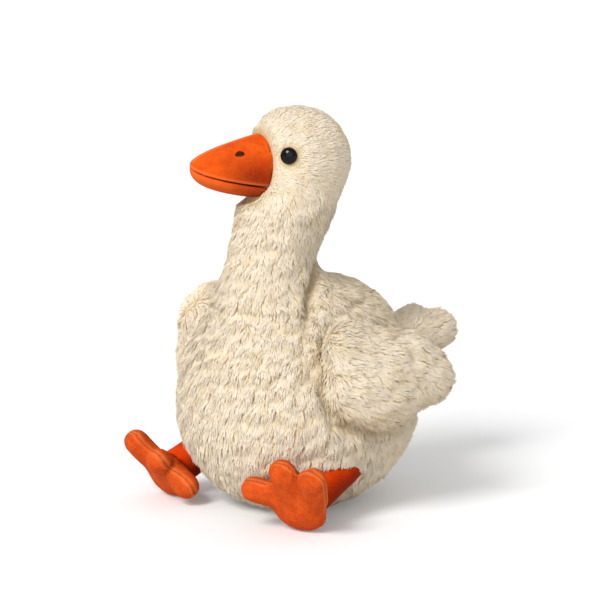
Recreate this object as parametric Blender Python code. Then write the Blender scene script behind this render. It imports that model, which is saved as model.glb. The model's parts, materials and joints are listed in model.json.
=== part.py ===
# A plush goose that sits on its seat, with its legs out in front and its toes up.
# Units are metres, +Z is up and the goose faces -Y, so its left side is at +X.
# The origin is the middle of the flat patch that it sits on.
import math

import bmesh
import bpy
from mathutils import Matrix, Vector

for old_object in list(bpy.data.objects):
    bpy.data.objects.remove(old_object)

# The goose's sides, as the sign of X
LEFT = 1
RIGHT = -1
SIDE_NAMES = {LEFT: "left", RIGHT: "right"}

# Belly and back, the lower part of the one sewn bag that runs up to the head
BELLY_WIDTH = 0.166
BELLY_FRONT = 0.088
BELLY_BACK = 0.097
BELLY_HEIGHT = 0.176
BELLY_SAG = 0.16
SEAT_PRESS = 0.008
HUMP_RADIUS = 0.047
HUMP_WIDTH = 0.106
HUMP_BACK = 0.037
HUMP_LIFT = 0.1158
CHEST_RADIUS = 0.056
CHEST_FORWARD = 0.026
CHEST_LIFT = 0.104

# Neck, as the places and radii that its tube runs through
NECK_BASE_AT = (0.0, -0.034, 0.124)
NECK_BASE_RADIUS = 0.044
NECK_MIDDLE_AT = (0.0, -0.026, 0.178)
NECK_MIDDLE_RADIUS = 0.0305
THROAT_AT = (0.0, -0.014, 0.208)
THROAT_RADIUS = 0.0355
NECK_TOP_AT = (0.0, 0.001, 0.227)
NECK_TOP_RADIUS = 0.0350

# Head, an egg whose long way runs up to the forehead
HEAD_AT = (0.0, 0.005, 0.2505)
HEAD_WIDTH = 0.0745
HEAD_LENGTH = 0.083
HEAD_HEIGHT = 0.0745
HEAD_TURN = math.radians(-22)
HEAD_TILT = math.radians(38)

# Wings, stuffed pads that are sewn on at the shoulder and stand away from the back
WING_LENGTH = 0.090
WING_HEIGHT = 0.081
WING_THICKNESS = 0.038
WING_INSET = 0.007
WING_SETBACK = 0.052
WING_BACK = 0.034
WING_LIFT = 0.1025
WING_SPREAD = math.radians(15)
WING_LEAN = math.radians(8)
WING_TIP_RADIUS = 0.0265
WING_TIP_BACK = 0.072
WING_TIP_DROP = 0.002
WING_TIP_THICKNESS = 0.030
WING_SHOULDER_RADIUS = 0.022
WING_SHOULDER_BACK = 0.011
WING_SHOULDER_LIFT = 0.025
WING_SHOULDER_THICKNESS = 0.034

# Tail, a stuffed pad that widens to a blunt end
TAIL_ROOT_WIDTH = 0.050
TAIL_END_WIDTH = 0.062
TAIL_THICKNESS = 0.037
TAIL_INSET = 0.001
TAIL_LENGTH = 0.043
TAIL_LIFT = 0.100
TAIL_RISE = math.radians(11)

# Beak, measured from the middle of the head
BEAK_START = 0.016
BEAK_ROOT = 0.030
BEAK_REACH = 0.083
BEAK_WIDTH = 0.043
BEAK_RIDGE = 0.0165
MOUTH_DROP = 0.0203
BEAK_TIP_DROP = 0.004
LIP_RADIUS = 0.003
LOWER_BEAK_WIDTH = 0.039
LOWER_BEAK_DEPTH = 0.0085
# How slowly the mouth line, the ridge and the sides close towards the tip
MOUTH_CURVE = 0.45
RIDGE_CURVE = 0.53
SIDE_CURVE = 0.625
CHIN_CURVE = 12
# How square the beak's section is along the mouth and how full over the top
MOUTH_FLATNESS = 0.5
RIDGE_FULLNESS = 0.88

# Eyes, domes with a stem that runs through the cloth into a locking washer
EYE_RADIUS = 0.006
EYE_DOME = 0.0038
EYE_RIM = 0.0008
EYE_SIDE = math.radians(54.5)
EYE_RISE = math.radians(4.5)
EYE_POCKET_DEPTH = 0.0012
STEM_RADIUS = 0.0022
STEM_LENGTH = 0.012
WASHER_RADIUS = 0.0065
WASHER_THICKNESS = 0.0015
WASHER_DEPTH = 0.006

# Nostrils, worked in thread on the upper beak
NOSTRIL_LENGTH = 0.0066
NOSTRIL_HEIGHT = 0.0038
NOSTRIL_PROUD = 0.0007
NOSTRIL_FORWARD = 0.0515
NOSTRIL_SIDE = 0.0145

# Legs, tubes that run from inside the body to the ankles
LEG_ROOT_RADIUS = 0.0135
LEG_ANKLE_RADIUS = 0.0140
LEG_LENGTH = 0.060
LEG_SPLAY = {LEFT: math.radians(3), RIGHT: math.radians(12)}
LEG_FALL = math.radians(24)

# Feet, each in a frame of its own: X to the inner side, Y into the leg, Z up the middle toe
ANKLE_INSET = {LEFT: 0.020, RIGHT: 0.011}
ANKLE_SETBACK = 0.030
FOOT_SPLAY = math.radians(11)
FOOT_LEAN = math.radians(30)
PALM_WIDTH = 0.044
PALM_LENGTH = 0.035
PALM_THICKNESS = 0.022
TOE_TIP_RADIUS = 0.0101
TOE_ROOT_RADIUS = 0.0088
WEB_THICKNESS = 0.007
WEB_REACH = 0.022
# Each toe, from the inner one: how far its root lies to the inner side, its fan to the inner side,
# its lean forward and its length
TOES = {
    LEFT: (
        (0.010, math.radians(62), math.radians(14), 0.032),
        (0.000, math.radians(5), math.radians(2), 0.037),
        (-0.017, math.radians(-12), math.radians(2), 0.034),
    ),
    RIGHT: (
        (0.010, math.radians(108), math.radians(10), 0.034),
        (0.003, math.radians(44), math.radians(20), 0.033),
        (-0.010, math.radians(-10), math.radians(10), 0.033),
    ),
}

# Fits
SEAM_GAP = 0.0003
CAST_GAP = 0.0003

# Grain of the fused skins, and how often each is smoothed
BODY_GRAIN = 0.0094
BODY_SMOOTH_STEPS = 8
WING_GRAIN = 0.0072
WING_SMOOTH_STEPS = 6
TAIL_GRAIN = 0.0070
TAIL_SMOOTH_STEPS = 3
FOOT_GRAIN = 0.0042
FOOT_SMOOTH_STEPS = 2
DOME_STEPS = 5


def material(name, colour, roughness):
    """A plain material with the part's own colour."""
    made = bpy.data.materials.new(name)
    made.use_nodes = True
    shader = made.node_tree.nodes["Principled BSDF"]
    shader.inputs["Base Color"].default_value = (*colour, 1.0)
    shader.inputs["Roughness"].default_value = roughness
    shader.inputs["Metallic"].default_value = 0.0
    return made


cream_pile = material("cream_pile", (0.82, 0.74, 0.60), 0.95)
orange_velour = material("orange_velour", (0.86, 0.19, 0.03), 0.85)
orange_cloth = material("orange_cloth", (0.84, 0.13, 0.01), 0.6)
black_gloss = material("black_gloss", (0.01, 0.01, 0.012), 0.08)
white_nylon = material("white_nylon", (0.85, 0.85, 0.83), 0.5)
brown_thread = material("brown_thread", (0.16, 0.05, 0.02), 0.7)


def placed(name, bm, finish):
    """Makes an object from a bmesh and gives it its material."""
    mesh = bpy.data.meshes.new(name)
    bm.to_mesh(mesh)
    bm.free()
    made = bpy.data.objects.new(name, mesh)
    bpy.context.scene.collection.objects.link(made)
    mesh.materials.append(finish)
    mesh.shade_smooth()
    return made


def add_ball(bm, centre, radii, frame=Matrix.Identity(4), segments=32):
    """Adds an ellipsoid with its three radii along the frame's axes."""
    place = frame @ Matrix.Translation(centre) @ Matrix.Diagonal((*radii, 1.0))
    bmesh.ops.create_uvsphere(bm, u_segments=segments, v_segments=segments // 2, radius=1.0, matrix=place)


def ring_edges(ring):
    """The edges that run round a ring of vertices."""
    members = set(ring)
    found = {edge for vert in ring for edge in vert.link_edges if edge.other_vert(vert) in members}
    return sorted(found, key=lambda edge: edge.index)


def bridge_rings(bm, rings):
    """Joins rings of vertices into a closed tube with filled ends."""
    for lower, upper in zip(rings, rings[1:]):
        bmesh.ops.bridge_loops(bm, edges=ring_edges(lower) + ring_edges(upper))
    for ring in (rings[0], rings[-1]):
        bmesh.ops.edgeloop_fill(bm, edges=ring_edges(ring))
    bmesh.ops.recalc_face_normals(bm, faces=bm.faces)


def add_tube(bm, stations, sides=20):
    """Adds a closed tube through stations of (centre, radius), each ring square to the run."""
    rings = []
    for index, (centre, radius) in enumerate(stations):
        before = Vector(stations[max(index - 1, 0)][0])
        after = Vector(stations[min(index + 1, len(stations) - 1)][0])
        square = (after - before).to_track_quat("Z", "Y").to_matrix().to_4x4()
        place = Matrix.Translation(centre) @ square
        rings.append(bmesh.ops.create_circle(bm, segments=sides, radius=radius, matrix=place)["verts"])
    bridge_rings(bm, rings)


def evaluated(made):
    """Replaces an object's mesh by what its modifiers make of it."""
    bpy.context.view_layer.update()
    graph = bpy.context.evaluated_depsgraph_get()
    mesh = bpy.data.meshes.new_from_object(made.evaluated_get(graph), depsgraph=graph)
    made.modifiers.clear()
    made.data = mesh


def fused(made, grain, smooth_steps):
    """Fuses overlapping shapes into one skin with this grain, and softens its creases."""
    remesh = made.modifiers.new("fuse", "REMESH")
    remesh.mode = "VOXEL"
    remesh.voxel_size = grain
    remesh.use_smooth_shade = True
    soften = made.modifiers.new("soften", "SMOOTH")
    soften.factor = 0.5
    soften.iterations = smooth_steps
    evaluated(made)


def grown(made, gap):
    """A bmesh copy of an object, with its surface moved out by a gap."""
    bm = bmesh.new()
    bm.from_mesh(made.data)
    bm.normal_update()
    moves = [(vert, vert.normal * gap) for vert in bm.verts]
    for vert, move in moves:
        vert.co += move
    return bm


def cut_by(made, bm):
    """Takes the solid in a bmesh away from an object."""
    cutter = placed("cutter", bm, cream_pile)
    cutter.hide_render = True
    cutter.display_type = "WIRE"
    cut = made.modifiers.new("cut", "BOOLEAN")
    cut.operation = "DIFFERENCE"
    cut.solver = "EXACT"
    cut.object = cutter
    evaluated(made)
    bpy.data.objects.remove(cutter)


def seated_on(made, *neighbours):
    """Cuts an object back so that it lies on its neighbours, a seam's gap away."""
    for neighbour in neighbours:
        cut_by(made, grown(neighbour, SEAM_GAP))


def turned(bm, profile, steps=20):
    """Turns a profile of (radius, height) round Z, closed at the axis or as a ring."""
    verts = [bm.verts.new((radius, 0.0, height)) for radius, height in profile]
    edges = [bm.edges.new(pair) for pair in zip(verts, verts[1:])]
    if profile[0][0] > 0:
        edges.append(bm.edges.new((verts[-1], verts[0])))
    bmesh.ops.spin(
        bm, geom=verts + edges, cent=(0.0, 0.0, 0.0), axis=(0.0, 0.0, 1.0),
        angle=2 * math.pi, steps=steps, use_merge=True,
    )
    bmesh.ops.remove_doubles(bm, verts=bm.verts, dist=0.000001)
    bmesh.ops.recalc_face_normals(bm, faces=bm.faces)


def head_frame():
    """The head's own frame: the beak points along its -Y and the left eye is at its +X."""
    return Matrix.Translation(HEAD_AT) @ Matrix.Rotation(HEAD_TURN, 4, "Z")


def head_direction(side, turn, rise):
    """A direction from the head's middle, turned from the beak towards one side and raised."""
    local = Vector((side * math.sin(turn) * math.cos(rise), -math.cos(turn) * math.cos(rise), math.sin(rise)))
    return head_frame().to_3x3() @ local


def add_belly(bm):
    """Adds the belly, with its own depth to the front and to the back and a sag low down."""
    half_height = BELLY_HEIGHT / 2
    middle = Vector((0.0, 0.0, half_height - SEAT_PRESS))
    made = bmesh.ops.create_icosphere(bm, subdivisions=4, radius=1.0)
    for vert in made["verts"]:
        depth = BELLY_BACK if vert.co.y > 0 else BELLY_FRONT
        low = max(0.0, -vert.co.z)
        swell = 1.0 + BELLY_SAG * low * (1.0 - low)
        across = vert.co.x * swell * BELLY_WIDTH / 2
        vert.co = middle + Vector((across, vert.co.y * swell * depth, vert.co.z * half_height))


def press_seat(made):
    """Cuts the underside flat where the goose sits."""
    bm = bmesh.new()
    bm.from_mesh(made.data)
    geometry = bm.verts[:] + bm.edges[:] + bm.faces[:]
    bmesh.ops.bisect_plane(
        bm, geom=geometry, plane_co=(0.0, 0.0, 0.0), plane_no=(0.0, 0.0, -1.0), clear_outer=True
    )
    rim = [edge for edge in bm.edges if edge.is_boundary]
    bmesh.ops.edgeloop_fill(bm, edges=rim)
    bm.to_mesh(made.data)
    bm.free()


def build_body():
    """The bag of belly, back, chest, neck and head, with its flat seat."""
    bm = bmesh.new()
    add_belly(bm)
    add_ball(bm, (0.0, HUMP_BACK, HUMP_LIFT), (HUMP_WIDTH / 2, HUMP_RADIUS, HUMP_RADIUS))
    add_ball(bm, (0.0, -CHEST_FORWARD, CHEST_LIFT), (CHEST_RADIUS, CHEST_RADIUS, CHEST_RADIUS))
    add_tube(bm, [
        (NECK_BASE_AT, NECK_BASE_RADIUS),
        (NECK_MIDDLE_AT, NECK_MIDDLE_RADIUS),
        (THROAT_AT, THROAT_RADIUS),
        (NECK_TOP_AT, NECK_TOP_RADIUS),
    ])
    tilted = head_frame() @ Matrix.Rotation(-HEAD_TILT, 4, "X")
    add_ball(bm, (0.0, 0.0, 0.0), (HEAD_WIDTH / 2, HEAD_LENGTH / 2, HEAD_HEIGHT / 2), tilted)
    made = placed("body", bm, cream_pile)
    fused(made, BODY_GRAIN, BODY_SMOOTH_STEPS)
    press_seat(made)
    return made


def wing_frame(side):
    """A wing's own frame: X outwards, Y back along the wing, Z up."""
    out = BELLY_WIDTH / 2 - WING_INSET
    place = Matrix.Translation((side * out, WING_SETBACK - BELLY_FRONT, WING_LIFT))
    return place @ Matrix.Rotation(-side * WING_SPREAD, 4, "Z") @ Matrix.Rotation(-side * WING_LEAN, 4, "Y")


def build_wing(side, body):
    """A pad with a shoulder, a full middle and a thinner tip, sewn to the body's side."""
    bm = bmesh.new()
    frame = wing_frame(side)
    add_ball(bm, (0.0, WING_BACK, 0.0), (WING_THICKNESS / 2, WING_LENGTH / 2, WING_HEIGHT / 2), frame)
    tip_radii = (WING_TIP_THICKNESS / 2, WING_TIP_RADIUS, WING_TIP_RADIUS)
    add_ball(bm, (0.0, WING_TIP_BACK, -WING_TIP_DROP), tip_radii, frame)
    shoulder_radii = (WING_SHOULDER_THICKNESS / 2, WING_SHOULDER_RADIUS, WING_SHOULDER_RADIUS)
    add_ball(bm, (0.0, WING_SHOULDER_BACK, WING_SHOULDER_LIFT), shoulder_radii, frame)
    made = placed(f"wing_{SIDE_NAMES[side]}", bm, cream_pile)
    fused(made, WING_GRAIN, WING_SMOOTH_STEPS)
    seated_on(made, body)


def build_tail(body):
    """A pad that widens to its blunt end, tilted up a little and sewn to the back."""
    bm = bmesh.new()
    place = Matrix.Translation((0.0, BELLY_BACK - TAIL_INSET, TAIL_LIFT))
    frame = place @ Matrix.Rotation(TAIL_RISE, 4, "X")
    radius = TAIL_THICKNESS / 2
    for share in (0.0, 0.5, 1.0):
        half_width = (TAIL_ROOT_WIDTH + (TAIL_END_WIDTH - TAIL_ROOT_WIDTH) * share) / 2
        for across in (radius - half_width, half_width - radius):
            add_ball(bm, (across, TAIL_LENGTH * share, 0.0), (radius, radius, radius), frame)
    made = placed("tail", bm, cream_pile)
    fused(made, TAIL_GRAIN, TAIL_SMOOTH_STEPS)
    seated_on(made, body)


def beak_run(reach):
    """How much of the beak is left ahead of a distance from the head's middle, 1 at its root."""
    return (BEAK_REACH - reach) / (BEAK_REACH - BEAK_ROOT)


def mouth_height(reach):
    """Height of the mouth line over the head's middle."""
    return -BEAK_TIP_DROP - (MOUTH_DROP - BEAK_TIP_DROP) * beak_run(reach) ** MOUTH_CURVE


def beak_half_width(width, reach):
    """Half of the beak's width, for a width at its root."""
    return width / 2 * (1.0 - (1.0 - beak_run(reach)) ** 2) ** SIDE_CURVE


def beak_stations(count=12, last=0.994):
    """Distances ahead of the head's middle, closer together towards the tip."""
    for step in range(count):
        share = last * math.sin(math.pi / 2 * step / (count - 1))
        yield BEAK_START + (BEAK_REACH - BEAK_START) * share


def upper_section(reach):
    """Middle height of the upper beak's section, and its heights over and under that."""
    ridge = -BEAK_TIP_DROP + (BEAK_RIDGE + BEAK_TIP_DROP) * beak_run(reach) ** RIDGE_CURVE
    mouth = mouth_height(reach)
    lip = min(LIP_RADIUS, (ridge - mouth) / 2)
    return mouth + lip, ridge - mouth - lip, lip


def lower_section(reach):
    """Middle height of the lower beak's section, and its heights over and under that."""
    lip = LIP_RADIUS / 2
    depth = LOWER_BEAK_DEPTH * (1.0 - (reach / BEAK_REACH) ** CHIN_CURVE) ** 0.5
    return mouth_height(reach) - SEAM_GAP - lip, lip, depth


def bent(value, power):
    """A sine or cosine raised to a power, with its sign kept."""
    return math.copysign(abs(value) ** power, value)


def build_beak(name, width, section, mouth_side, body, points=24):
    """One half of the beak, as rings across it from inside the head to the tip."""
    bm = bmesh.new()
    rings = []
    for reach in beak_stations():
        half_width = beak_half_width(width, reach)
        middle, over, under = section(reach)
        ring = bmesh.ops.create_circle(bm, segments=points, radius=1.0)["verts"]
        for index, vert in enumerate(ring):
            angle = 2 * math.pi * index / points
            rise = math.sin(angle)
            power = MOUTH_FLATNESS if rise * mouth_side > 0 else RIDGE_FULLNESS
            height = bent(rise, power) * (over if rise > 0 else under)
            vert.co = (half_width * bent(math.cos(angle), power), -reach, middle + height)
        rings.append(ring)
    bridge_rings(bm, rings)
    bm.transform(head_frame())
    made = placed(name, bm, orange_velour)
    seated_on(made, body)
    return made


def build_nostril(side, beak):
    """A raised half-moon of thread that lies on the upper beak."""
    start = head_frame() @ Vector((side * NOSTRIL_SIDE, -NOSTRIL_FORWARD, BEAK_RIDGE))
    hit, point, normal, face = beak.ray_cast(start, Vector((0.0, 0.0, -1.0)))
    forward = head_direction(side, 0.0, 0.0)
    along = (forward - normal * forward.dot(normal)).normalized()
    axes = Matrix((along, normal.cross(along), normal)).transposed().to_4x4()
    bm = bmesh.new()
    radii = (NOSTRIL_LENGTH / 2, NOSTRIL_HEIGHT / 2, NOSTRIL_PROUD + SEAM_GAP)
    add_ball(bm, (0.0, 0.0, 0.0), radii, Matrix.Translation(point) @ axes, segments=16)
    made = placed(f"nostril_{SIDE_NAMES[side]}", bm, brown_thread)
    seated_on(made, beak)


def eye_profile():
    """Dome, rim, back and stem as (radius, height) over the cloth."""
    dome = []
    for step in range(DOME_STEPS + 1):
        angle = math.pi / 2 * step / DOME_STEPS
        dome.append((EYE_RADIUS * math.sin(angle), EYE_RIM - EYE_POCKET_DEPTH + EYE_DOME * math.cos(angle)))
    back = -EYE_POCKET_DEPTH
    end = back - STEM_LENGTH
    return dome + [(EYE_RADIUS, back), (STEM_RADIUS, back), (STEM_RADIUS, end), (0.0, end)]


def eye_hole_profile():
    """The pocket and the bore that hold the eye, a cast gap wider than it."""
    pocket = EYE_RADIUS + CAST_GAP
    bore = STEM_RADIUS + CAST_GAP
    back = -EYE_POCKET_DEPTH - CAST_GAP
    end = back - STEM_LENGTH
    return [(0.0, EYE_DOME), (pocket, EYE_DOME), (pocket, back), (bore, back), (bore, end), (0.0, end)]


def washer_profile(gap):
    """The locking washer's section as (radius, height), with a gap added all round."""
    top = -WASHER_DEPTH + gap
    bottom = -WASHER_DEPTH - WASHER_THICKNESS - gap
    bore = STEM_RADIUS + CAST_GAP - gap
    rim = WASHER_RADIUS + gap
    return [(bore, bottom), (rim, bottom), (rim, top), (bore, top)]


def build_eye(side, body):
    """An eye and its washer, and the hole in the head that holds them."""
    direction = head_direction(side, EYE_SIDE, EYE_RISE)
    hit, point, normal, face = body.ray_cast(Vector(HEAD_AT), direction)
    frame = Matrix.Translation(point) @ direction.to_track_quat("Z", "Y").to_matrix().to_4x4()
    pieces = (
        ("eye", eye_profile(), eye_hole_profile(), black_gloss),
        ("eye_washer", washer_profile(0.0), washer_profile(CAST_GAP), white_nylon),
    )
    for name, profile, hole_profile, finish in pieces:
        bm = bmesh.new()
        turned(bm, profile)
        bm.transform(frame)
        placed(f"{name}_{SIDE_NAMES[side]}", bm, finish)
        hole = bmesh.new()
        turned(hole, hole_profile)
        hole.transform(frame)
        cut_by(body, hole)


def ankle_at(side):
    """Where a leg's middle line meets the middle of its foot."""
    out = BELLY_WIDTH / 2 - ANKLE_INSET[side]
    return Vector((side * out, ANKLE_SETBACK - BELLY_FRONT, PALM_LENGTH / 2))


def build_foot(side):
    """A palm with three toes and a web, let down to touch the floor."""
    turn = Matrix.Rotation(side * FOOT_SPLAY, 4, "Z")
    mirror = Matrix.Diagonal((-side, 1.0, 1.0, 1.0))
    frame = Matrix.Translation(ankle_at(side)) @ turn @ mirror @ Matrix.Rotation(FOOT_LEAN, 4, "X")
    bm = bmesh.new()
    add_ball(bm, (0.0, 0.0, 0.0), (PALM_WIDTH / 2, PALM_THICKNESS / 2, PALM_LENGTH / 2), frame)
    web_middle = (0.0, WEB_THICKNESS / 2, WEB_REACH / 2)
    add_ball(bm, web_middle, (WEB_REACH, WEB_THICKNESS / 2, WEB_REACH / 2), frame)
    for root_side, fan, lean, length in TOES[side]:
        root = Vector((root_side, 0.0, PALM_LENGTH / 4))
        run = Vector((math.sin(fan) * math.cos(lean), -math.sin(lean), math.cos(fan) * math.cos(lean)))
        tip = root + run * (length - TOE_TIP_RADIUS)
        add_tube(bm, [(frame @ root, TOE_ROOT_RADIUS), (frame @ tip, TOE_TIP_RADIUS)])
        add_ball(bm, tip, (TOE_TIP_RADIUS, TOE_TIP_RADIUS, TOE_TIP_RADIUS), frame)
    bmesh.ops.recalc_face_normals(bm, faces=bm.faces)
    made = placed(f"foot_{SIDE_NAMES[side]}", bm, orange_velour)
    fused(made, FOOT_GRAIN, FOOT_SMOOTH_STEPS)
    lowest = min(vert.co.z for vert in made.data.vertices)
    made.data.transform(Matrix.Translation((0.0, 0.0, -lowest)))
    return made


def build_leg(side, body, foot):
    """A tube from inside the body to the foot, cut to lie on both."""
    flat = math.cos(LEG_FALL)
    splay = LEG_SPLAY[side]
    run = Vector((side * math.sin(splay) * flat, -math.cos(splay) * flat, -math.sin(LEG_FALL)))
    ankle = ankle_at(side)
    root = ankle - run * LEG_LENGTH
    middle_radius = (LEG_ROOT_RADIUS + LEG_ANKLE_RADIUS) / 2
    bm = bmesh.new()
    add_tube(bm, [(root, LEG_ROOT_RADIUS), ((ankle + root) / 2, middle_radius), (ankle, LEG_ANKLE_RADIUS)])
    made = placed(f"leg_{SIDE_NAMES[side]}", bm, orange_cloth)
    seated_on(made, body, foot)


body = build_body()
beak_upper = build_beak("beak_upper", BEAK_WIDTH, upper_section, -1, body)
build_beak("beak_lower", LOWER_BEAK_WIDTH, lower_section, 1, body)
build_tail(body)
for side in (LEFT, RIGHT):
    build_nostril(side, beak_upper)
    build_wing(side, body)
    foot = build_foot(side)
    build_leg(side, body, foot)
for side in (LEFT, RIGHT):
    build_eye(side, body)
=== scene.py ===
import json
import math

import bmesh
import bpy
import numpy as np
from mathutils import Matrix, Vector, noise
from mathutils.bvhtree import BVHTree

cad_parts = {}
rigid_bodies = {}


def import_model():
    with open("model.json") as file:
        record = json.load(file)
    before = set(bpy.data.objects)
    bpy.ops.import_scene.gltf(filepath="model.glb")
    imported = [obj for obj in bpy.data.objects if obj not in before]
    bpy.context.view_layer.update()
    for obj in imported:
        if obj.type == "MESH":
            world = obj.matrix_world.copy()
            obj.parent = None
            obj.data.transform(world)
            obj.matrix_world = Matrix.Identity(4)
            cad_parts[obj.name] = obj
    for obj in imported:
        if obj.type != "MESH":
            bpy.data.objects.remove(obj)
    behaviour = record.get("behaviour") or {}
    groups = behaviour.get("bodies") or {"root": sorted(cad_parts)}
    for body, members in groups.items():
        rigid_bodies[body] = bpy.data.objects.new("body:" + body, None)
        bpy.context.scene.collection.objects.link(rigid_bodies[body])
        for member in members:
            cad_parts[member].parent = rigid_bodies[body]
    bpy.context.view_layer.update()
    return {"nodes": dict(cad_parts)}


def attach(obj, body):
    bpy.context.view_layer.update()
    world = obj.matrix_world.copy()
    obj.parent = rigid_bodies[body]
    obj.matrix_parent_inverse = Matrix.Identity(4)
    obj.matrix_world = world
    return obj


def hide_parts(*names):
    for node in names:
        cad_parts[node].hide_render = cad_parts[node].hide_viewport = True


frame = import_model()
sides = {"left": 1, "right": -1}

# where the head, the tail and the ankles are, as in the CAD
headAt = (0.0, 0.005, 0.2505)
headFrame = Matrix.Translation(headAt) @ Matrix.Rotation(math.radians(-22), 4, "Z")
tailFrame = Matrix.Translation((0.0, 0.096, 0.100)) @ Matrix.Rotation(math.radians(11), 4, "X")
ankles = {"left": (0.063, -0.058, 0.0175), "right": (-0.072, -0.058, 0.0175)}


class Socket:
    # an output socket whose maths is written as plain Python

    def __init__(self, graph, link):
        self.graph = graph
        self.link = link

    def also(self, name):
        return Socket(self.graph, pick(self.link.node.outputs, name))

    def maths(self, operation, first, second):
        vectors = [part for part in (first, second) if isinstance(part, tuple) or isVector(part)]
        if not vectors:
            return self.graph.add("ShaderNodeMath", {"operation": operation}, {0: first, 1: second})
        if operation == "MULTIPLY" and len(vectors) == 1:
            other = second if vectors[0] is first else first
            return self.graph.add(
                "ShaderNodeVectorMath", {"operation": "SCALE"}, {0: vectors[0], "Scale": other}
            )
        return self.graph.add("ShaderNodeVectorMath", {"operation": operation}, {0: first, 1: second})

    def __add__(self, other):
        return self.maths("ADD", self, other)

    def __radd__(self, other):
        return self.maths("ADD", other, self)

    def __sub__(self, other):
        return self.maths("SUBTRACT", self, other)

    def __rsub__(self, other):
        return self.maths("SUBTRACT", other, self)

    def __mul__(self, other):
        return self.maths("MULTIPLY", self, other)

    def __rmul__(self, other):
        return self.maths("MULTIPLY", other, self)


class Graph:
    # the nodes of one material or of one scatter

    def __init__(self, tree):
        self.tree = tree

    def add(self, kind, settings=None, values=None, out=0):
        node = self.tree.nodes.new(kind)
        for name, value in (settings or {}).items():
            setattr(node, name, value)
        for name, value in (values or {}).items():
            socket = pick(node.inputs, name)
            if isinstance(value, Socket):
                self.tree.links.new(value.link, socket)
            else:
                socket.default_value = value
        return Socket(self, pick(node.outputs, out)) if node.outputs else None

    def mix(self, share, first, second, how="MIX"):
        settings = {"data_type": "RGBA", "blend_type": how, "clamp_factor": True}
        return self.add("ShaderNodeMix", settings, {"Factor": share, "A": first, "B": second}, "Result")

    def attribute(self, name):
        return self.add("ShaderNodeAttribute", {"attribute_name": name}, None, "Fac")

    def place(self):
        return self.add("ShaderNodeTexCoord", None, None, "Object")

    def bump(self, height, strength, distance):
        values = {"Height": height, "Strength": strength, "Distance": distance}
        return self.add("ShaderNodeBump", None, values)

    def grain(self, place, size, detail=2.0, roughness=0.5):
        # soft random grain from 0 to 1, size in metres
        values = {"Vector": place, "Scale": 1.0 / size, "Detail": detail, "Roughness": roughness}
        return self.add("ShaderNodeTexNoise", None, values)

    def steps(self, value, low, high):
        # 0 under low, 1 over high, and smooth between them
        settings = {"interpolation_type": "SMOOTHSTEP"}
        return self.add("ShaderNodeMapRange", settings, {"Value": value, "From Min": low, "From Max": high})


def pick(sockets, name):
    if isinstance(name, int):
        return sockets[name]
    return next(socket for socket in sockets if socket.name == name and socket.enabled)


def isVector(part):
    return isinstance(part, Socket) and part.link.type in ("VECTOR", "RGBA")


def paint(code):
    # a colour written as on screen, such as EDE3D0, as the shader wants it
    parts = [int(code[at:at + 2], 16) / 255 for at in (0, 2, 4)]
    return (*[part / 12.92 if part <= 0.04045 else ((part + 0.055) / 1.055) ** 2.4 for part in parts], 1.0)


def startMaterial(name):
    made = bpy.data.materials.new(name)
    made.use_nodes = True
    made.node_tree.nodes.clear()
    return made, Graph(made.node_tree)


def endMaterial(graph, values):
    shader = graph.add("ShaderNodeBsdfPrincipled", None, values)
    graph.add("ShaderNodeOutputMaterial", None, {"Surface": shader})


def smoothStep(low, high, values):
    share = np.clip((values - low) / (high - low), 0.0, 1.0)
    return share * share * (3.0 - 2.0 * share)


def placed(name, bm, finish=None):
    mesh = bpy.data.meshes.new(name)
    bm.to_mesh(mesh)
    bm.free()
    mesh.shade_smooth()
    made = bpy.data.objects.new(name, mesh)
    bpy.context.scene.collection.objects.link(made)
    if finish:
        mesh.materials.append(finish)
    return made


def mergedCopy(*nodes):
    bm = bmesh.new()
    for node in nodes:
        bm.from_mesh(frame["nodes"][node].data)
    bmesh.ops.remove_doubles(bm, verts=bm.verts, dist=0.000005)
    return bm


def treeOf(*nodes):
    bm = mergedCopy(*nodes)
    tree = BVHTree.FromBMesh(bm)
    bm.free()
    return tree


def applyModifiers(made):
    bpy.context.view_layer.update()
    graph = bpy.context.evaluated_depsgraph_get()
    mesh = bpy.data.meshes.new_from_object(made.evaluated_get(graph), depsgraph=graph)
    made.modifiers.clear()
    old = made.data
    made.data = mesh
    bpy.data.meshes.remove(old)


def softened(made, look):
    # rounds the facets off, makes an even skin and relaxes it
    if look.get("roundings"):
        rounding = made.modifiers.new("round", "SUBSURF")
        rounding.levels = look["roundings"]
        rounding.render_levels = look["roundings"]
    skin = made.modifiers.new("skin", "REMESH")
    skin.mode = "VOXEL"
    skin.voxel_size = look["grain"]
    skin.use_smooth_shade = True
    relax = made.modifiers.new("relax", "SMOOTH")
    relax.factor = 0.5
    relax.iterations = look["relaxRounds"]
    applyModifiers(made)


def surfaceOf(made):
    # the places and normals of a mesh's vertices, as two arrays
    count = len(made.data.vertices)
    points = np.zeros(count * 3, dtype=np.float32)
    normals = np.zeros(count * 3, dtype=np.float32)
    made.data.vertices.foreach_get("co", points)
    made.data.vertex_normals.foreach_get("vector", normals)
    return points.reshape(-1, 3).astype(float), normals.reshape(-1, 3).astype(float)


def moveTo(made, points):
    made.data.vertices.foreach_set("co", points.astype(np.float32).ravel())
    made.data.update()


rayWay = Vector((0.31, 0.22, 0.925))
mostCrossings = 12


def isInside(point, tree):
    # a ray from inside a closed surface crosses it an odd number of times
    crossings = 0
    hit = tree.ray_cast(Vector(point), rayWay)[0]
    while hit is not None and crossings < mostCrossings:
        crossings += 1
        hit = tree.ray_cast(hit + rayWay * 0.00001, rayWay)[0]
    return crossings % 2 == 1


def distanceTo(points, tree, near=0.02):
    # distance to a surface, less than 0 inside it, where it is near
    found = np.zeros(len(points))
    for index, point in enumerate(points):
        distance = tree.find_nearest(point)[3]
        found[index] = -distance if distance < near and isInside(point, tree) else distance
    return found


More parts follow.
